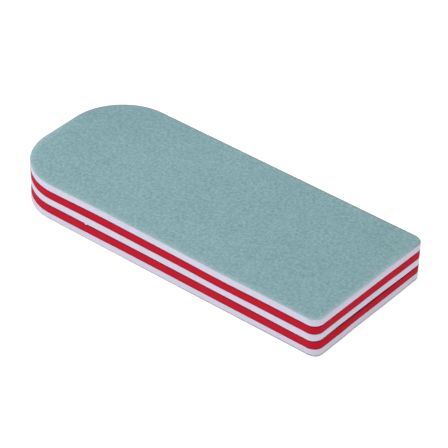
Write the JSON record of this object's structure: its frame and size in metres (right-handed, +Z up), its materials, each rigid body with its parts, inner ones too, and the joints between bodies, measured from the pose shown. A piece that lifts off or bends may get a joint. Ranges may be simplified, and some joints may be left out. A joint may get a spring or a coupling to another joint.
{
  "type": "nail buffer block",
  "caption": "Flat hand-held nail buffer block of laminated red and white foam with a teal polishing sheet on top, one end rounded and one end square.",
  "frame": {"origin": "middle of the underside, in the plane that the block rests on", "axes": "+X along the block towards its square end, +Y across it, +Z up through the stack towards the polishing sheet"},
  "size_m": [0.09, 0.0384, 0.0098],
  "materials": {
    "polishing_sheet": "matte teal fine-grained polishing coat on a thin pale backing",
    "buffing_sheet": "matte pale grey fine abrasive coat on a thin backing",
    "white_foam": "matte closed-cell foam with a knife-cut wall",
    "red_foam": "matte closed-cell foam with a knife-cut wall",
    "clear_glue": "thin satin adhesive film"
  },
  "bodies": {
    "root": {"top_polishing_sheet": "polishing_sheet", "top_adhesive_film": "clear_glue", "upper_white_foam": "white_foam", "upper_bond_film": "clear_glue", "upper_red_foam": "red_foam", "upper_middle_bond_film": "clear_glue", "middle_white_foam": "white_foam", "lower_middle_bond_film": "clear_glue", "lower_red_foam": "red_foam", "lower_bond_film": "clear_glue", "lower_white_foam": "white_foam", "bottom_adhesive_film": "clear_glue", "bottom_buffing_sheet": "buffing_sheet"}
  },
  "joints": []
}
